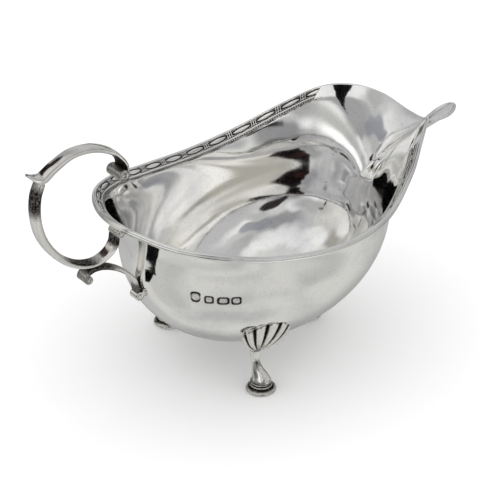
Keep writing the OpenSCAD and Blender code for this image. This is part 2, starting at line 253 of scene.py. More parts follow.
def closed_tube(rings, first, last):
    """Points and faces of a tube through n rings of m points, closed at its ends round the
    points first and last."""
    n, m = rings.shape[:2]
    verts = np.vstack([rings.reshape(-1, 3), first, last])
    faces = quads(n, m, loop_m=True)
    for j in range(m):
        faces.append((n * m, (j + 1) % m, j))
        faces.append((n * m + 1, (n - 1) * m + j, (n - 1) * m + (j + 1) % m))
    return verts, outward(verts, faces)


def closed_sheet(front, back):
    """Points and faces of a sheet between two n by m grids of points, closed round its edge."""
    n, m = front.shape[:2]
    u = n * m
    verts = np.concatenate([front.reshape(-1, 3), back.reshape(-1, 3)])
    faces = quads(n, m) + turned_over(quads(n, m, start=u))
    for i in range(n - 1):
        a, b = i * m, (i + 1) * m
        faces += [(a, b, b + u, a + u), (b + m - 1, a + m - 1, a + m - 1 + u, b + m - 1 + u)]
    for j in range(m - 1):
        a, b = j, (n - 1) * m + j
        faces += [(a + 1, a, a + u, a + 1 + u), (b, b + 1, b + 1 + u, b + u)]
    return verts, outward(verts, faces)


# ---------------------------------------------------------------- materials
# Each set of scratches: the angle it is turned by, and how closely it is squeezed in x, y and z
SCRATCHES = [(0.4, (30, 900, 700)), (1.9, (800, 40, 900)), (1.1, (900, 700, 60))]
# Dark colour and its roughness, for oxide in hollows and for painted shade and dark reflections on some
# pieces
DARK_OXIDE_AND_SHADE = (0.022, 0.016, 0.011, 1)
OXIDE_AND_SHADE_ROUGH = 0.55
# Tint of the cloudy parts against the bright ones
CLOUDED = (0.74, 0.745, 0.77)
# Depth of the bump in metres
WAVE_DEPTH, SCRATCH_DEPTH = 0.00012, 0.00002


def noise(tree, place, scale, detail, roughness=0.5):
    """Output of a new noise texture, seen at place."""
    n = tree.nodes.new("ShaderNodeTexNoise")
    n.inputs["Scale"].default_value = scale
    n.inputs["Detail"].default_value = detail
    n.inputs["Roughness"].default_value = roughness
    tree.links.new(place, n.inputs["Vector"])
    return n.outputs["Fac"]


def remap(tree, value, span, new_span):
    """Output with the value's span carried over to new_span, and held within it."""
    n = tree.nodes.new("ShaderNodeMapRange")
    n.inputs["From Min"].default_value, n.inputs["From Max"].default_value = span
    n.inputs["To Min"].default_value, n.inputs["To Max"].default_value = new_span
    tree.links.new(value, n.inputs["Value"])
    return n.outputs[0]


def added(tree, a, b):
    """Output with the sum of two others."""
    n = tree.nodes.new("ShaderNodeMath")
    n.operation = "ADD"
    tree.links.new(a, n.inputs[0])
    tree.links.new(b, n.inputs[1])
    return n.outputs[0]


def scratches(tree, place):
    """Output with the height of fine scratches: noise stretched in several directions."""
    total = None
    for angle, squeeze in SCRATCHES:
        turned = tree.nodes.new("ShaderNodeMapping")
        turned.inputs["Rotation"].default_value = (angle, angle * 0.7, angle * 1.3)
        turned.inputs["Scale"].default_value = squeeze
        tree.links.new(place, turned.inputs["Vector"])
        line = noise(tree, turned.outputs["Vector"], scale=1, detail=2)
        total = line if total is None else added(tree, total, line)
    return total


def bump(tree, height, strength, distance):
    """New bump node for a height."""
    n = tree.nodes.new("ShaderNodeBump")
    n.inputs["Strength"].default_value = strength
    n.inputs["Distance"].default_value = distance
    tree.links.new(height, n.inputs["Height"])
    return n


def oxide_and_shade_share(tree, speckle):
    """Output with the share of the dark colour, oxide and painted shade: the piece's attribute for
    them, broken up by specks.
    """
    oxide_and_shade = tree.nodes.new("ShaderNodeAttribute")
    oxide_and_shade.attribute_name = "oxide_and_shade"
    share = tree.nodes.new("ShaderNodeMath")
    share.operation = "MULTIPLY_ADD"
    share.use_clamp = True
    tree.links.new(oxide_and_shade.outputs["Fac"], share.inputs[0])
    share.inputs[1].default_value = 1.25
    tree.links.new(remap(tree, speckle, (0.35, 0.7), (-0.25, 0.12)), share.inputs[2])
    return share.outputs[0]


def silver(name, colour, rough, wear=1.0):
    """Polished silver: fine scratches, cloudy polish, dark oxide in its hollows, and painted shade
    where a piece carries it. Wear strengthens the waves and scratches."""
    material = bpy.data.materials.new(name)
    material.use_nodes = True
    tree = material.node_tree
    tree.nodes.clear()
    new, link = tree.nodes.new, tree.links.new
    shader = new("ShaderNodeBsdfPrincipled")
    shader.inputs["Metallic"].default_value = 1.0
    link(shader.outputs[0], new("ShaderNodeOutputMaterial").inputs[0])
    place = new("ShaderNodeTexCoord").outputs["Object"]
    cloud = noise(tree, place, scale=38, detail=5, roughness=0.62)
    # share of the dark colour: oxide in hollows, and painted shade where a piece carries it
    dark_share = oxide_and_shade_share(tree, noise(tree, place, scale=1560, detail=3))

    rough_mix = new("ShaderNodeMix")
    link(dark_share, rough_mix.inputs["Factor"])
    link(remap(tree, cloud, (0.3, 0.75), (rough * 0.7, rough * 1.6)), rough_mix.inputs["A"])
    rough_mix.inputs["B"].default_value = OXIDE_AND_SHADE_ROUGH
    link(rough_mix.outputs["Result"], shader.inputs["Roughness"])

    tint = new("ShaderNodeValToRGB")
    dull, bright = tint.color_ramp.elements
    dull.position, bright.position = 0.3, 0.52
    dull.color = (*(c * k for c, k in zip(colour, CLOUDED)), 1)
    bright.color = (*colour, 1)
    link(cloud, tint.inputs["Fac"])
    colour_mix = new("ShaderNodeMix")
    colour_mix.data_type = "RGBA"
    link(dark_share, colour_mix.inputs["Factor"])
    link(tint.outputs["Color"], colour_mix.inputs["A"])
    colour_mix.inputs["B"].default_value = DARK_OXIDE_AND_SHADE
    link(colour_mix.outputs["Result"], shader.inputs["Base Color"])

    # slow hand-raised waves under the fine scratches
    slow = bump(tree, noise(tree, place, scale=62, detail=1.5), 0.35 * wear, WAVE_DEPTH)
    sharp = bump(tree, scratches(tree, place), 0.12 * wear, SCRATCH_DEPTH)
    link(slow.outputs["Normal"], sharp.inputs["Normal"])
    link(sharp.outputs["Normal"], shader.inputs["Normal"])
    return material


SHEET_SILVER = silver("sheet_silver_polish", (0.95, 0.945, 0.93), 0.055)
CAST_SILVER = silver("cast_silver_polish", (0.9, 0.885, 0.85), 0.14, wear=1.6)
BORDER_SILVER = silver("border_silver_oxide", (0.92, 0.91, 0.885), 0.12)


# ---------------------------------------------------------------- bowl
# Shares of the wall's length with a row of points, closer together over the marks' height
ROWS = np.unique(np.round(np.concatenate([np.arange(1, 55) / 54,
                                          np.arange(0.67, 0.8301, 0.0024)]), 5))
POLE = np.array([BODY_X - LOW_BACK, 0, LOW])
# Columns between two stations; where the marks are, the columns stand closer
STATION_STEPS = 12
MARK_ZONE, MARK_STEP = (0.72, 2.06), 0.0095
# Blank punched marks on the -Y side: x and height of the middle, width, height and shape, then
# the level way along the wall there, and the depth of a mark's field and of the line round it
MARKS = [(-39.1, 39.3, 3.1, 3.9, "shield"), (-36.3, 38.6, 2.9, 2.9, "square"),
         (-33.1, 38.3, 3.7, 2.8, "oblong"), (-29.9, 38.2, 3.1, 2.9, "square")]
MARK_ALONG = unit([9.3, -8.2, 0])
MARK_FIELD, MARK_LINE = 0.05, 0.09
# Painted shade line in the crease on the inner face, under the border's edge: distance below the edge,
# half width, pitch of its beads
CREASE_AT, CREASE_HALF, CREASE_BEAD = 4.1, 0.28, 1.9


def loop_places():
    """Places round the whole rim: along +Y from the back to the lip, and home along -Y with
    closer places where the marks are."""
    half = np.arange(LAST * STATION_STEPS + 1) / STATION_STEPS
    near = half[1:-1]
    near = near[(near < MARK_ZONE[0]) | (near > MARK_ZONE[1])]
    near = np.sort(np.concatenate([near, np.arange(*MARK_ZONE, MARK_STEP)]))
    return np.concatenate([half, -near[::-1]])


def bowl_grids():
    """Places round the rim, and at each of them the rows of the inner face, the directions out
    of the sheet and its thickness."""
    places = loop_places()
    inner = np.array([inner_column(t, ROWS) for t in places])
    along = np.roll(inner, -1, 0) - np.roll(inner, 1, 0)
    up = np.empty_like(inner)
    up[:, 1:-1] = inner[:, 2:] - inner[:, :-2]
    up[:, 0] = inner[:, 1] - POLE
    up[:, -1] = inner[:, -1] - inner[:, -2]
    out = unit(np.cross(up, along))
    thick = SHEET * (1 - 0.4 * ease(LIP_FROM, LIP_TO, np.abs(places)))[:, None, None]
    return places, inner, out, thick


PLACES, INNER, OUT, THICK = bowl_grids()
OUTER = INNER + OUT * THICK


def mark_depth(points):
    """Depth and darkness of the punched marks at points of the outer face."""
    deep, dark = np.zeros(points.shape[:-1]), np.zeros(points.shape[:-1])
    px, py, pz = points[..., 0], points[..., 1], points[..., 2]
    near = (px < -24) & (py < -12) & (pz > 34) & (pz < 44)
    for x, z, wide, tall, kind in MARKS:
        y = -math.sqrt(max(0, 1 - ((x - BODY_X) / (HALF_L + SHEET)) ** 2)) * (HALF_W + SHEET)
        u = ((px - x) * MARK_ALONG[0] + (py - y) * MARK_ALONG[1]) / (wide / 2)
        v = (pz - z) / (tall / 2)
        if kind == "shield":
            u = u / (1 - 0.32 * np.clip(-v, 0, 1.2) ** 2)
        d = (np.abs(u) ** 4 + np.abs(v) ** 4) ** 0.25
        inside = near & (d < 1.25)
        line = np.exp(-((d - 0.84) / 0.17) ** 2)
        field = 1 - ease(0.8, 1.02, d)
        if kind == "shield":
            line = line * (0.35 + 0.65 * ease(0.25, 0.6, np.abs(v)))
        deep = np.where(inside, np.maximum(deep, MARK_FIELD * field + MARK_LINE * line), deep)
        dark = np.where(inside, np.maximum(dark, line ** 0.8 + 0.22 * field), dark)
    return deep, np.clip(dark, 0, 1)


def bowl_shade_line(edge):
    """Painted shade in the inner face's rows, from its edge points: a beaded dark line in the crease
    under the border's edge."""
    below = np.concatenate([np.full(len(ROWS), np.inf), TOP_ROWS])
    crease = np.exp(-((below - CREASE_AT) / CREASE_HALF) ** 2) * 0.95
    run = np.cumsum(np.linalg.norm(edge - np.roll(edge, 1, 0), axis=1))
    beaded = 0.72 + 0.28 * np.sin(run * 2 * math.pi / CREASE_BEAD)
    kept = 1 - ease(BORDER_END - 0.3, BORDER_END + 0.3, np.abs(PLACES))
    return (beaded * kept)[:, None] * crease


def build_bowl():
    """Bowl: inner face, rounded edge and outer face with the marks, as columns round the rim."""
    deep, punched = mark_depth(OUTER)
    struck = OUTER - OUT * deep[..., None]
    edge_in, edge_out = INNER[:, -1], OUTER[:, -1]
    mid, half = (edge_in + edge_out) / 2, (edge_out - edge_in) / 2
    tip = unit(INNER[:, -1] - INNER[:, -2]) * np.linalg.norm(half, axis=1)[:, None] * 0.7
    rounding = [mid - half * math.cos(a) + tip * math.sin(a) for a in
                (math.pi * k / 6 for k in range(1, 6))]
    column = np.concatenate([INNER, np.stack(rounding, 1), struck[:, ::-1]], 1)
    n, m = column.shape[:2]
    oxide_and_shade = np.zeros((n, m))
    oxide_and_shade[:, m - OUTER.shape[1]:] = punched[:, ::-1]
    # the inner face carries the painted shade line under the border
    oxide_and_shade[:, :INNER.shape[1]] = bowl_shade_line(edge_in)
    verts = np.vstack([column.reshape(-1, 3), POLE, POLE - [0, 0, SHEET]])
    faces = quads(n, m, loop_n=True)
    for i in range(n):
        j = (i + 1) % n
        faces.append((n * m, i * m, j * m))
        faces.append((n * m + 1, j * m + m - 1, i * m + m - 1))
    make("boat_bowl", "bowl", "sheet_silver", SHEET_SILVER, verts, outward(verts, faces),
         np.append(oxide_and_shade, [0, 0]))


build_bowl()


# ---------------------------------------------------------------- rim wire
def build_rim_wire():
    """Half-round wire against the flange's outer face, with its flat side sunk a little."""
    steps = 10
    _, up, away = rim_frame(PLACES)
    foot = OUTER[:, -1]
    size = (1 - (1 - WIRE_LIP) * ease(LIP_FROM, LIP_TO, np.abs(PLACES)))[:, None]
    ring = []
    for k in range(steps + 1):
        a = math.pi * k / steps
        ring.append(foot - up * size * WIRE_H * (1 - math.cos(a)) / 2
                    + away * size * WIRE_OUT * math.sin(a) ** 0.9)
    for k in (0.75, 0.25):
        ring.append(foot - up * size * WIRE_H * k - away * size * WIRE_SUNK)
    verts = np.stack(ring, 1)
    n, m = verts.shape[:2]
    verts = verts.reshape(-1, 3)
    faces = outward(verts, quads(n, m, loop_n=True, loop_m=True))
    make("boat_rim_wire", "rim_wire", "sheet_silver", SHEET_SILVER, verts, faces, np.zeros(len(verts)))


build_rim_wire()


# ---------------------------------------------------------------- border strip
# Stamped pattern: pitch of the ovals, middle and half height of their chain, half length and
# half height of an oval, middle and half height of the rib, middle and pitch of the beads
BORDER_PITCH = 9.2
CHAIN_AT, CHAIN_HALF = 1.42, 1.06
OVAL_LONG, OVAL_TALL = 3.2, 0.64
RIB_AT, RIB_HALF = 2.84, 0.34
BEAD_AT, BEAD_PITCH = 3.4, 0.9
STRIP_SUNK = 0.12


def border_relief(s, y):
    """Height in mm of the stamped pattern, s mm round the rim from the back and y mm in from
    the strip's outer edge: a chain of ringed ovals between sets of three upright bars, and
    under it a plain rib and a row of beads."""
    x = np.abs((s / BORDER_PITCH) % 1 - 0.5) * BORDER_PITCH
    gap = BORDER_PITCH / 2 - x
    side = np.abs(y - CHAIN_AT)
    chain = side < CHAIN_HALF
    e = (x / OVAL_LONG) ** 1.6 + (side / OVAL_TALL) ** 1.7
    field = np.full(x.shape, 0.03)
    oval = np.where(e < 1, 0.17 + 0.2 * np.sqrt(np.clip(1 - e, 0, 1)), 0)
    ring = np.where((e > 2.1) & (e < 2.6) & chain, 0.26, 0)
    bar = np.where(((gap < 0.15) | (gap > 0.66) & (gap < 0.92)) & chain, 0.3, 0)
    edge = np.where(y < 0.3, 0.26, 0)
    crown = np.sqrt(np.clip(1 - ((y - RIB_AT) / RIB_HALF) ** 2, 0, 1))
    rib = np.where(np.abs(y - RIB_AT) < RIB_HALF, 0.14 + 0.22 * crown, 0)
    in_bead = (np.abs(y - BEAD_AT) < 0.12) & (np.abs((s / BEAD_PITCH) % 1 - 0.5) < 0.24)
    bead = np.where(in_bead, 0.15, 0)
    return np.maximum.reduce([field, oval, ring, bar, edge, rib, bead])


def build_border():
    """Border strip on the flange's inner face, from shoulder to shoulder round the back."""
    fine = np.linspace(-BORDER_END, BORDER_END, 4001)
    edge, _, _ = rim_frame(fine)
    length = np.concatenate([[0], np.cumsum(np.linalg.norm(np.diff(edge, axis=0), axis=1))])
    length -= length[len(length) // 2]
    count, across = 1750, 40
    y = np.linspace(0, BORDER_W, across)[None, :]
    s = np.linspace(-1, 1, count)[:, None] * (length[-1] - 0.75 * y)
    edge, up, away = rim_frame(np.interp(s.ravel(), length, fine))
    height = border_relief(s, np.broadcast_to(y, s.shape))
    dark = np.clip(1 - (height - 0.05) / 0.1, 0, 1) * 1.1
    height[:, 0] = height[:, -1] = 0.0
    height[0] = height[-1] = 0.0
    shape = s.shape + (3,)
    base = edge.reshape(shape) - up.reshape(shape) * (BORDER_INSET + y)[..., None]
    top = base - away.reshape(shape) * height[..., None]
    bottom = base + away.reshape(shape) * STRIP_SUNK
    verts, faces = closed_sheet(top, bottom)
    oxide_and_shade = np.concatenate([dark.reshape(-1), np.full(dark.size, 0.6)])
    make("boat_border_strip", "border_strip", "border_silver", BORDER_SILVER, verts, faces, oxide_and_shade)


build_border()


# ---------------------------------------------------------------- handle
# Paths give x, z, width and thickness; rolls give the middle's x and z
TOP_ROLL = (-51.6, 77.2)
TOP_PATH = np.array([
    [-49.9, 77.7, 6.6, 1.3], [-50.6, 81, 6.1, 1.5], [-54.2, 85, 4.6, 1.7],
    [-60.4, 87.9, 4, 1.9], [-67.4, 88.4, 4, 2], [-73.3, 86.2, 4, 2.3],
    [-77.4, 83.9, 4.2, 2.4], [-79.6, 84.4, 4, 1.8], [-81.9, 86, 2.4, 0.8]])
LOWER_PATH = np.array([
    [-78.3, 82.8, 4, 2.2], [-80, 78.4, 4, 2.4], [-80.4, 72.5, 4, 2.4], [-79.2, 66, 4, 2.4],
    [-76.2, 60.2, 4, 2.3], [-71.6, 54.9, 4, 2.2], [-66.4, 51.5, 4, 2], [-61, 50.4, 4, 1.8],
    [-56.6, 51.8, 4.2, 1.7], [-54.2, 54.3, 4.4, 1.6], [-53.6, 57, 4.4, 1.5]])
LOWER_ROLL = (-52.9, 58)
BRACKET_PATH = np.array([
    [-65.7, 46.2, 4.8, 1.2], [-64.9, 47.9, 4.6, 1.4], [-62.6, 48.7, 4, 1.5],
    [-60.3, 48.6, 3.8, 1.5], [-57.9, 47.9, 3.4, 1.5], [-55.3, 46.7, 3.2, 1.5],
    [-52.6, 45, 3.2, 1.4], [-50, 42.7, 3.2, 1.4], [-48, 40.3, 3.2, 1.3],
    [-47, 37.8, 3.2, 1.3], [-46.6, 35, 3.2, 1.2]])
BRACKET_CURL, BRACKET_ROLL = (-64.6, 46.3), (-46.3, 33.6)


def bar_section(sides):
    """Section of a scroll bar: flat inside with soft corners, crowned outside with a
    raised middle and a hollow each side of it."""
    points = []
    for k in range(sides):
        a = 2 * math.pi * k / sides
        c, s = math.cos(a), math.sin(a)
        x = math.copysign(abs(c) ** 0.42, c)
        if s >= 0:
            y = abs(s) ** 0.8
            y *= 1 - 0.1 * math.exp(-((abs(x) - 0.62) / 0.16) ** 2)
        else:
            y = -abs(s) ** 0.36
        points.append((x, y))
    return points


def build_bar(path, side, painted_shade):
    """Scroll bar along a path of x, z, width and thickness. Side, 1 or -1, picks the face that is
    crowned, and the last argument lists patches of painted shade and dark reflection: x, z, reach,
    strength and whether only the other face has it."""
    sides, steps = 36, 14
    guided = np.vstack([2 * path[0] - path[1], path, 2 * path[-1] - path[-2]])
    t = np.linspace(0, len(path) - 1, (len(path) - 1) * steps + 1)
    p = spline(guided, t)
    d = spline(guided, np.minimum(t + 0.03, len(path) - 1)) - spline(guided, np.maximum(t - 0.03, 0))
    across = unit(np.stack([-d[:, 1], 0 * d[:, 0], d[:, 0]], 1)) * side
    centre = np.stack([p[:, 0], 0 * p[:, 0], p[:, 1]], 1)
    section = bar_section(sides)
    rings = np.stack([centre + across * (y * p[:, 3:4] / 2)
                      + np.array([0, 1, 0]) * (x * p[:, 2:3] / 2) for x, y in section], 1)
    verts, faces = closed_tube(rings, rings[0].mean(0), rings[-1].mean(0))
    inner = np.array([y < -0.3 for _, y in section])
    dark = np.zeros(rings.shape[:2])
    for x, z, reach, share, only_inner in painted_shade:
        near = share * (1 - ease(0.3, 1, np.hypot(p[:, 0] - x, p[:, 1] - z) / reach))[:, None]
        dark = np.maximum(dark, near * (inner[None, :] if only_inner else 1))
    return verts, faces, np.append(dark, [0, 0])


def build_roll(at, radius, width, painted_shade, hand=1):
    """Roll at the end of a scroll: crowned round the middle, with the edge of the coiled strap showing
    as a dark spiral groove in both end faces. The share after the width is painted shade over the whole
    roll, for the dark reflection it shows. Hand -1 coils it the other way."""
    turns, sides, groove = 1.6, 56, 0.22
    angles = np.arange(sides) * 2 * math.pi / sides
    radial = (0.12, 0.26, 0.4, 0.54, 0.68, 0.82)
    # places across the roll, in half widths, and the radius there, in radii
    middle = [(-1, 0.9), (-0.93, 0.985), (-0.8, 1.0), (-0.4, 0.97), (0, 0.96), (0.4, 0.97),
              (0.8, 1.0), (0.93, 0.985), (1, 0.9)]
    rings, dark = [], []

    def add_ring(r, y, share):
        """Ring of radius r, in radii, at y with shares of the dark colour."""
        rings.append(np.stack([at[0] + radius * r * np.cos(angles), y,
                               at[1] + radius * r * np.sin(angles)], 1))
        dark.extend(share)

    def add_face_ring(r, sign):
        """Ring of an end face, on the side of sign, with its groove."""
        spiral = (r / 0.95 * turns - hand * angles / (2 * math.pi)) % 1
        depth = groove * np.exp(-((spiral - 0.5) / 0.16) ** 2)
        y = sign * (width / 2 - depth + 0.12 * (1 - r))
        add_ring(r, y, np.maximum(depth / groove * 0.8, painted_shade * 0.6))

    for r in radial:
        add_face_ring(r, -1)
    # painted shade round the roll's body, for its dark reflection
    for k, r in middle:
        add_ring(r, 0 * angles + width / 2 * k, np.full(sides, painted_shade))
    for r in reversed(radial):
        add_face_ring(r, 1)
    verts, faces = closed_tube(np.stack(rings), [at[0], -width / 2 - 0.1, at[1]],
                               [at[0], width / 2 + 0.1, at[1]])
    return verts, faces, np.array(dark + [0, 0])


def join(*parts):
    """One part of several, each with its points, faces and oxide."""
    verts, faces, dark, start = [], [], [], 0
    for v, f, d in parts:
        verts.append(v)
        faces += [tuple(i + start for i in q) for q in f]
        dark.append(d)
        start += len(v)
    return np.concatenate(verts), faces, np.concatenate(dark)


def build_handle():
    """Top scroll, lower scroll and bracket, each a bar with its rolls."""
    # Each bar's patches and each roll's share are painted shade: dark on inner faces and near joints
    # where the handle looks shaded, and on the rolls for their dark reflections.
    top = join(build_bar(TOP_PATH, -1, [(-51.5, 81, 8, 0.9, True)]),
               build_roll(TOP_ROLL, 1.9, HANDLE_END_W + 0.4, 0.5))
    lower = join(build_bar(LOWER_PATH, -1, [(-80.3, 77.5, 7, 0.8, False), (-67, 52, 10, 0.85, True),
                                            (-54, 56, 4, 0.8, False)]),
                 build_roll(LOWER_ROLL, 1.4, HANDLE_MID_W + 0.8, 0.35))
    bracket = join(build_bar(BRACKET_PATH, 1, [(-60, 48.6, 9, 0.8, False), (-47, 36, 4, 0.7, False)]),
                   build_roll(BRACKET_CURL, 1.3, HANDLE_MID_W + 1, 0.5, hand=-1),
                   build_roll(BRACKET_ROLL, 1.5, HANDLE_MID_W - 0.4, 0.1))
    make("boat_handle_top", "handle_top_scroll", "cast_silver", CAST_SILVER, *top)
    make("boat_handle_lower", "handle_lower_scroll", "cast_silver", CAST_SILVER, *lower)
    make("boat_handle_bracket", "handle_bracket", "cast_silver", CAST_SILVER, *bracket)


build_handle()


# ---------------------------------------------------------------- feet
# The body under its waist is nearly this ellipsoid
BODY_AXES = np.array([HALF_L + SHEET, HALF_W + SHEET, WAIST - LOW + SHEET])
BODY_MID = np.array([BODY_X - LOW_BACK / 2, 0, WAIST])


def onto_body(p, d):
    """Point of the body's outer face that is met from p along d."""
    a, b = (p - BODY_MID) / BODY_AXES, d / BODY_AXES
    aa, ab, bb = ((u * v).sum(-1, keepdims=True) for u, v in ((a, a), (a, b), (b, b)))
    return p + d * ((-ab + np.sqrt(np.maximum(ab * ab - bb * (aa - 1), 0))) / bb)


# Shell: its lobes, the degrees they spread over, their reach and how much more the middle one
# has, the shell's bulge to the sides and out, the thickness of its edge, and the depth to
# which the edge is sunk, so that no gap shows against the bowl
SHELL_LOBES, SHELL_SPREAD, SHELL_REACH, SHELL_TALLER = 7, 208, 7.8, 1.0
SHELL_SIDE_BULGE, SHELL_BULGE, SHELL_EDGE, SHELL_SINK = 1.8, 3.2, 0.35, 0.5


def build_shell(x, y, turn, top, lean, sink):
    """Shell over a foot's leg, fanned out against the body. Turn is its heading and lean its
    tilt to one side, in degrees. Its edge lies sink mm under the body's ellipsoid."""
    steps, rings = 14, 22
    toe = np.array([math.cos(math.radians(turn)), math.sin(math.radians(turn)), 0])
    hinge = np.array([x, y, top - 0.6]) - 1.1 * toe
    anchor = onto_body(np.array([x + 1.6, y, WAIST]), np.array([0, 0, -1.0]))
    out = unit((anchor - BODY_MID) / BODY_AXES ** 2)
    level = unit(np.cross([0, 0, 1], out))
    rise = np.cross(out, level)
    c, s = math.cos(math.radians(lean)), math.sin(math.radians(lean))
    up, side = rise * c + level * s, level * c - rise * s
    j = np.arange(SHELL_LOBES * steps + 1)
    ray = np.radians(SHELL_SPREAD * (j / j[-1] - 0.5))[:, None]
    lobe = np.abs(np.sin(math.pi * j / steps))[:, None] ** 0.6
    reach = (SHELL_REACH + SHELL_TALLER * np.cos(ray)) * (0.9 + 0.1 * lobe)
    tip = onto_body(anchor + reach * (side * np.sin(ray) + up * np.cos(ray)) - 3 * out,
                    np.broadcast_to(out, (len(j), 3))) - sink * out
    mid_out = ((hinge + tip) / 2 + out * SHELL_BULGE * (0.55 + 0.45 * lobe)
               + side * SHELL_SIDE_BULGE * np.sin(ray))
    tip_out = tip + out * SHELL_EDGE * (0.35 + 0.75 * lobe)
    tip_back = tip - 0.2 * out

    def bow(a, b, e, q):
        """Point at share q of the curve from a to e that b pulls out."""
        return (1 - q) ** 2 * a + 2 * q * (1 - q) * b + q * q * e

    q = np.concatenate([np.linspace(0.1, 0.93, rings), [0.965, 0.99, 1.0]])
    front = np.stack([bow(hinge, mid_out, tip_out, k) for k in q], 1)
    front[:, -2] += (tip_back - tip_out) * 0.12
    front[:, -1] = tip_out + (tip_back - tip_out) * 0.35
    back = np.stack([bow(hinge - 0.8 * out, anchor, tip_back, k) for k in q], 1)
    verts, faces = closed_sheet(front, back)
    # darker between the lobes, more so towards the edge, and a line of painted shade along the edge
    # against the bowl
    groove = (1 - ease(0.5, 0.8, lobe)) * ease(0.02, 0.3, q)[None, :]
    groove = np.maximum(groove * (0.6 + 0.4 * q[None, :]), 0.25 * ease(0.95, 1, q)[None, :])
    return verts, faces, np.concatenate([groove.reshape(-1), np.full(groove.size, 0.1)])


# Leg sections from the pad up: how far outward, share of the height, half depth, half width
LEG_PATH = np.array([[-0.1, 0, 3.4, 3], [0.1, 0.1, 3.2, 2.6], [-0.5, 0.24, 2.7, 2],
                     [-1.7, 0.45, 1.7, 1.5], [-2.2, 0.7, 1.4, 1.4], [-2, 1, 1.8, 2]])
# Spots of painted shade and dark reflection on a leg: strength, share of the height and reach, angle
# round it and reach
LEG_SPOTS = [(1, 0.58, 0.1, -0.75, 0.22), (0.8, 0.3, 0.2, -1.7, 0.13), (0.7, 0.4, 0.25, 0.35, 0.12)]


def build_leg(x, y, turn, top):
    """Leg from its pad up to top, broad at the pad and drawn in towards the body above it.
    Turn is the heading of its front in degrees."""
    sides, steps = 32, 8
    guided = np.vstack([2 * LEG_PATH[0] - LEG_PATH[1], LEG_PATH, 2 * LEG_PATH[-1] - LEG_PATH[-2]])
    p = spline(guided, np.linspace(0, len(LEG_PATH) - 1, (len(LEG_PATH) - 1) * steps + 1))
    a = np.arange(sides) * 2 * math.pi / sides
    r = math.radians(turn)
    lx = p[:, 0:1] + p[:, 2:3] * np.cos(a)
    ly = p[:, 3:4] * np.sin(a)
    z = np.broadcast_to(PAD_H + (top - PAD_H) * p[:, 1:2], lx.shape)
    rings = np.stack([x + lx * math.cos(r) - ly * math.sin(r),
                      y + lx * math.sin(r) + ly * math.cos(r), z], -1)
    verts, faces = closed_tube(rings, rings[0].mean(0), rings[-1].mean(0))
    share, around = np.repeat(p[:, 1], sides), np.tile(a, len(p))
    spots = sum(strength * np.exp(-((share - height) / tall) ** 2
                                  - (np.sin((around - angle) / 2) / wide) ** 2)
                for strength, height, tall, angle, wide in LEG_SPOTS)
    # painted shade where the leg meets its pad and its shell
    ends = np.clip(0.9 - share * 10, 0, 0.8) + np.clip((share - 0.93) * 6, 0, 0.5)
    return verts, faces, np.concatenate([ends + 0.95 * spots, [0.5, 0.5]])


def arc(x, z, radius, degrees):
    """Points of an arc about x, z at each of the angles."""
    return [(x + radius * math.cos(a), z + radius * math.sin(a)) for a in np.radians(degrees)]


def build_pad(x, y):
    """Turned pad: domed base, a deep groove and two collar rings."""
    sides = 72
    outline = np.array([
        (PAD_R - 0.6, 0), *arc(PAD_R - 0.6, 0.65, 0.6, range(-72, 73, 12)),
        (PAD_R - 0.75, 1.45), (PAD_R - 1.1, 1.72), (PAD_R - 1.45, 1.86),
        *arc(PAD_R - 1.5, 2.2, 0.3, range(-70, 91, 16)), (PAD_R - 1.72, 2.52),
        *arc(PAD_R - 1.8, 2.9, 0.3, range(-60, 91, 15))])
    r, z = outline[:, 0:1], outline[:, 1]
    a = np.arange(sides) * 2 * math.pi / sides
    rings = np.stack([x + r * np.cos(a), y + r * np.sin(a),
                      np.broadcast_to(z[:, None], (len(z), sides))], -1)
    verts, faces = closed_tube(rings, [x, y, 0], [x, y, PAD_H])
    dark = np.exp(-((z - 1.9) / 0.14) ** 2) * 0.9 + np.exp(-((z - 2.55) / 0.08) ** 2) * 0.9
    neck = (z > 1.42) & (np.abs(z - 2.3) > 0.16) & (np.abs(z - 3.05) > 0.12)
    dark = np.clip(np.maximum(dark, np.where(neck, 0.85, 0.26)), 0, 1)
    return verts, faces, np.concatenate([np.repeat(dark, sides), [0.6, 0.6]])


def mirrored(part):
    """The part on the other side of the boat."""
    verts, faces, dark = part
    return verts * [1, -1, 1], turned_over(faces), dark


def build_foot(x, y, turn, top, lean=0, sink=0.0):
    """The three parts of one foot, by kind."""
    return {"shell": build_shell(x, y, turn, top, lean, sink),
            "leg": build_leg(x, y, turn, top), "pad": build_pad(x, y)}


def build_feet():
    """Near, far and front foot. The far one mirrors the near one."""
    x, y = BACK_FOOT
    near = build_foot(x, -y, BACK_TURN, BACK_LEG_TOP, BACK_LEAN, SHELL_SINK)
    far = {kind: mirrored(part) for kind, part in near.items()}
    front = build_foot(FRONT_FOOT_X, 0, 0, FRONT_LEG_TOP)
    for place, foot in (("near", near), ("far", far), ("front", front)):
        for kind, part in foot.items():
            node = f"{place}_foot_{kind}"
            obj = make("boat_" + node, node, "cast_silver", CAST_SILVER, *part)
            if kind != "leg":
                sharpen(obj, 50)


build_feet()


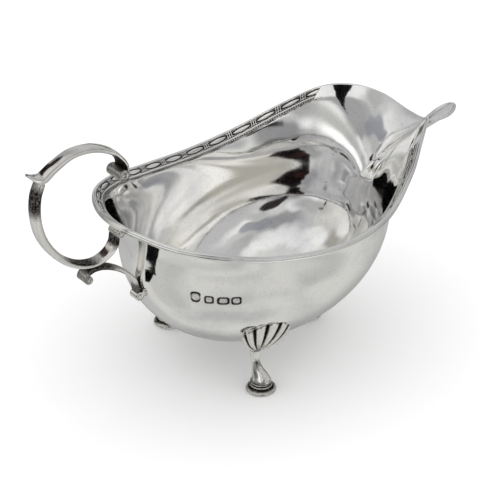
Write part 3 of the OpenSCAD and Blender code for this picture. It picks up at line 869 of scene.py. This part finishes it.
# ---------------------------------------------------------------- studio
# Light and dark areas round the boat, which only its reflections see, each with its heading and
# height, half width and half height, turn, softness of the edge, and colour. Angles are in
# degrees, and a later area lies over the earlier ones.
SURROUNDINGS = [
    # seen straight in the inside of the bowl
    (-125, 62, 60, 9, 0, 0.4, (0.86, 0.86, 0.86)),
    (-120, 43, 24, 7, 4, 0.4, (0.36, 0.36, 0.37)),
    (-128, 12, 18, 10, 0, 0.4, (0.3, 0.3, 0.31)),
    (-160, 19, 12, 12, 35, 0.4, (1.15, 1.15, 1.16)),
    (-141, 30, 7, 6, 30, 0.5, (0.95, 0.95, 0.95)),
    (-78, 40, 18, 3.5, 6, 0.3, (1.0, 1.0, 0.99)),
    (-101, 43, 12, 4.5, 6, 0.1, (0.3, 0.31, 0.34)),
    (-70, 55, 16, 6, 0, 0.4, (0.42, 0.42, 0.42)),
    (-105, 34, 8, 4, 10, 0.4, (0.5, 0.5, 0.5)),
    (-119, 23.5, 10, 4.6, 24, 0.1, (0.03, 0.025, 0.025)),
    (-78, 24, 22, 10, 0, 0.5, (0.42, 0.42, 0.43)),
    # seen in the inside by way of its own far wall
    (-20, 44, 40, 26, 0, 0.6, (0.5, 0.5, 0.51)),
    (-70, 30, 20, 8, 0, 0.6, (0.5, 0.5, 0.51)),
    (35, 45, 30, 34, 0, 0.6, (0.55, 0.555, 0.57)),
    (15, 12, 20, 7, -30, 0.4, (0.3, 0.3, 0.31)),
    (148, 37, 32, 25, 0, 0.04, (0.8, 0.79, 0.76)),
    (150, 38, 29, 23, 0, 0.03, (0.74, 0.73, 0.69)),
    (166, 54, 14, 7, 0, 0.3, (0.95, 0.95, 0.93)),
    (140, 29, 14, 8, 20, 0.6, (0.86, 0.85, 0.82)),
    (138, 44, 12, 6.5, 8, 0.5, (0.42, 0.41, 0.37)),
    (123, 33, 6, 9, -15, 0.5, (0.5, 0.49, 0.45)),
    (-162, 27, 20, 8, 0, 0.5, (0.5, 0.5, 0.49)),
    (76, 36, 16, 26, 0, 0.4, (0.42, 0.42, 0.43)),
    (102, 36, 11.5, 23.5, -12, 0.05, (0.006, 0.004, 0.004)),
    (99, 40, 5, 7, -20, 0.3, (0.03, 0.012, 0.01)),
    (60, 20, 8, 20, 0, 0.4, (0.55, 0.55, 0.55)),
    # round the horizon and below it, seen by the handle and the feet
    (180, 0, 200, 5, 0, 0.5, (0.13, 0.13, 0.12)),
    (0, 0, 179, 5, 0, 0.5, (0.13, 0.13, 0.12)),
    (-172, -16, 26, 12, 0, 0.7, (0.2, 0.2, 0.2)),
    (-118, -16, 12, 12, 0, 0.5, (0.06, 0.058, 0.055)),
    (-80, -17, 14, 10, 0, 0.5, (1.0, 1.0, 1.0)),
    (-33, -17, 20, 12, 0, 0.6, (0.16, 0.16, 0.16)),
    (102, -17, 28, 11, 0, 0.7, (0.16, 0.16, 0.16)),
    (52, -30, 10, 12, 0, 0.6, (0.07, 0.07, 0.07)),
    # what the outside of the boat sees
    (52, -52, 26, 22, 0, 0.7, (0.36, 0.36, 0.36)),
    (-52, -36, 14, 5, 0, 0.6, (0.5, 0.5, 0.49)),
    (95, -46, 16, 16, 0, 0.6, (0.5, 0.5, 0.5)),
    (172, -50, 12, 13, 0, 0.6, (0.5, 0.5, 0.49)),
    (155, -46, 8, 16, 0, 0.5, (0.54, 0.54, 0.53)),
    (-110, -47, 30, 4, 8, 0.6, (0.58, 0.58, 0.57)),
    (-140, -70, 30, 8, 0, 0.6, (0.56, 0.56, 0.55)),
]


# Tones of the room above and below the horizon, and the power that squares off the areas
UPPER_TONE, LOWER_TONE = (0.66, 0.66, 0.65), (0.64, 0.64, 0.62)
AREA_SQUARENESS = 2.6


def waves(angle, *sets):
    """Sum of waves round the dome, each with its size in degrees, count and start."""
    return sum(size * np.sin(np.radians(angle * count + start)) for size, count, start in sets)


def surroundings_colour(heading, height):
    """Colour of what lies round the boat in each direction, in degrees."""
    wavy = ease(-10, 5, height)
    h = heading + wavy * waves(height, (2.2, 9, 0), (1.2, 23, 40))
    e = height + wavy * waves(heading, (1.6, 7, 0), (0.8, 19, 70))
    colour = np.where((e > 0)[..., None], UPPER_TONE, LOWER_TONE)
    for mid_h, mid_e, wide, tall, turn, soft, tone in SURROUNDINGS:
        x = ((h - mid_h + 180) % 360 - 180) * math.cos(math.radians(mid_e))
        y = e - mid_e
        c, s = math.cos(math.radians(turn)), math.sin(math.radians(turn))
        x, y = x * c + y * s, y * c - x * s
        d = (np.abs(x / wide) ** AREA_SQUARENESS
             + np.abs(y / tall) ** AREA_SQUARENESS) ** (1 / AREA_SQUARENESS)
        k = 1 - ease(1 - soft, 1 + soft, d)
        colour = colour * (1 - k[..., None]) + np.array(tone) * k[..., None]
    return colour


def glow_material():
    """Glow in the colour of the 'glow' attribute."""
    material = bpy.data.materials.new("surroundings")
    material.use_nodes = True
    tree = material.node_tree
    tree.nodes.clear()
    glow = tree.nodes.new("ShaderNodeAttribute")
    glow.attribute_name = "glow"
    emission = tree.nodes.new("ShaderNodeEmission")
    tree.links.new(glow.outputs["Color"], emission.inputs["Color"])
    tree.links.new(emission.outputs[0], tree.nodes.new("ShaderNodeOutputMaterial").inputs[0])
    return material


def matt_material(name, grey, rough):
    """Plain grey without any shine."""
    material = bpy.data.materials.new(name)
    material.use_nodes = True
    shader = material.node_tree.nodes["Principled BSDF"]
    shader.inputs["Base Color"].default_value = (grey, grey, grey, 1)
    shader.inputs["Roughness"].default_value = rough
    shader.inputs["Specular IOR Level"].default_value = 0
    return material


def stage_piece(name, mesh, material):
    """Piece of the room, which isn't part of the boat."""
    mesh.materials.append(material)
    obj = bpy.data.objects.new(name, mesh)
    bpy.context.scene.collection.objects.link(obj)
    return obj


def only_reflected(obj):
    """Shows the piece in the silver's reflections and nowhere else."""
    obj.visible_camera = False
    obj.visible_diffuse = False
    obj.visible_shadow = False


def build_surroundings():
    """Large dome that stands in for the room."""
    across, rows, radius = 540, 270, 4.0
    heading, height = np.meshgrid(np.linspace(-180, 180, across, endpoint=False),
                                  np.linspace(-90, 90, rows + 1))
    a, b = np.radians(heading), np.radians(height)
    verts = radius * np.stack([np.cos(b) * np.cos(a), np.cos(b) * np.sin(a), np.sin(b)], -1)
    mesh = bpy.data.meshes.new("surroundings")
    mesh.from_pydata(verts.reshape(-1, 3).tolist(), [], quads(rows + 1, across, loop_m=True))
    colour = np.ones((rows + 1, across, 4))
    colour[..., :3] = surroundings_colour(heading, height)
    mesh.attributes.new("glow", "FLOAT_COLOR", "POINT").data.foreach_set("color", colour.reshape(-1))
    only_reflected(stage_piece("surroundings", mesh, glow_material()))


def build_dark_card(name, verts, faces):
    """Small black card, from points in mm."""
    mesh = bpy.data.meshes.new(name)
    mesh.from_pydata([Vector(v) * MM for v in verts], [], faces)
    only_reflected(stage_piece(name, mesh, matt_material(name, 0.004, 0.5)))


# The card over the rim: its middle, the directions of its two axes, and its outline along them
RIM_CARD_MID = Vector((37, 5, 97))
RIM_CARD_AXES = Vector((0.736, -0.677, 0)), Vector((0.588, 0.639, 0.496))
RIM_CARD = [(-8.5, 10), (0, 10), (9.5, 9), (6, 1), (4.6, -5), (2, -15), (-1, -23), (-3, -13), (-4.4, 1)]
# Corners of the card behind the bowl in pairs, from its top to its foot
HANDLE_CARD = [(-51.5, 0, 39), (-50.5, -6.5, 40.5), (-54.5, 1.5, 36), (-53.5, -5.5, 36.5),
               (-57.5, 5, 32), (-58.5, -2.5, 33), (-57, 6.5, 27), (-58, 3, 27.5)]


def build_dark_cards():
    """A pointed card over the highest part of the rim, and a strip standing behind the bowl
    under the handle."""
    along, across = RIM_CARD_AXES
    build_dark_card("rim_card", [RIM_CARD_MID + along * x + across * y for x, y in RIM_CARD],
                    [tuple(range(len(RIM_CARD)))])
    build_dark_card("handle_card", HANDLE_CARD, quads(len(HANDLE_CARD) // 2, 2))


def build_floor():
    """White floor just under the pads, which the silver doesn't reflect."""
    half, gap = 3.0, 0.00002
    mesh = bpy.data.meshes.new("floor")
    mesh.from_pydata([(-half, -half, 0), (half, -half, 0), (half, half, 0), (-half, half, 0)],
                     [], [(0, 1, 2, 3)])
    floor = stage_piece("floor", mesh, matt_material("pale_floor", 0.96, 0.9))
    floor.location.z = CAD_BOX[0].z - gap
    floor.visible_glossy = False


def build_world():
    """Even white light from all round."""
    world = bpy.data.worlds.new("studio")
    bpy.context.scene.world = world
    world.use_nodes = True
    world.node_tree.nodes["Background"].inputs["Color"].default_value = (1, 1, 1, 1)
    world.node_tree.nodes["Background"].inputs["Strength"].default_value = 1.2


build_surroundings()
build_dark_cards()
build_floor()
build_world()


# ---------------------------------------------------------------- camera
def build_camera():
    """Camera with a long lens, on the near side and above, aimed at the boat's middle."""
    azimuth, elevation, distance = math.radians(-38), math.radians(30.5), 0.62
    back = Vector((math.sin(azimuth) * math.cos(elevation),
                   -math.cos(azimuth) * math.cos(elevation), math.sin(elevation)))
    data = bpy.data.cameras.new("camera")
    data.sensor_width, data.lens = 36, 150
    data.clip_start, data.clip_end = 0.01, 20
    cam = bpy.data.objects.new("camera", data)
    bpy.context.scene.collection.objects.link(cam)
    aim = Vector((-0.007006, 0, 0.038254))
    cam.location = aim + back * distance
    cam.rotation_mode = "QUATERNION"
    cam.rotation_quaternion = (-back).to_track_quat("-Z", "Y")
    bpy.context.scene.camera = cam
    bpy.context.scene.view_settings.view_transform = "Standard"


build_camera()
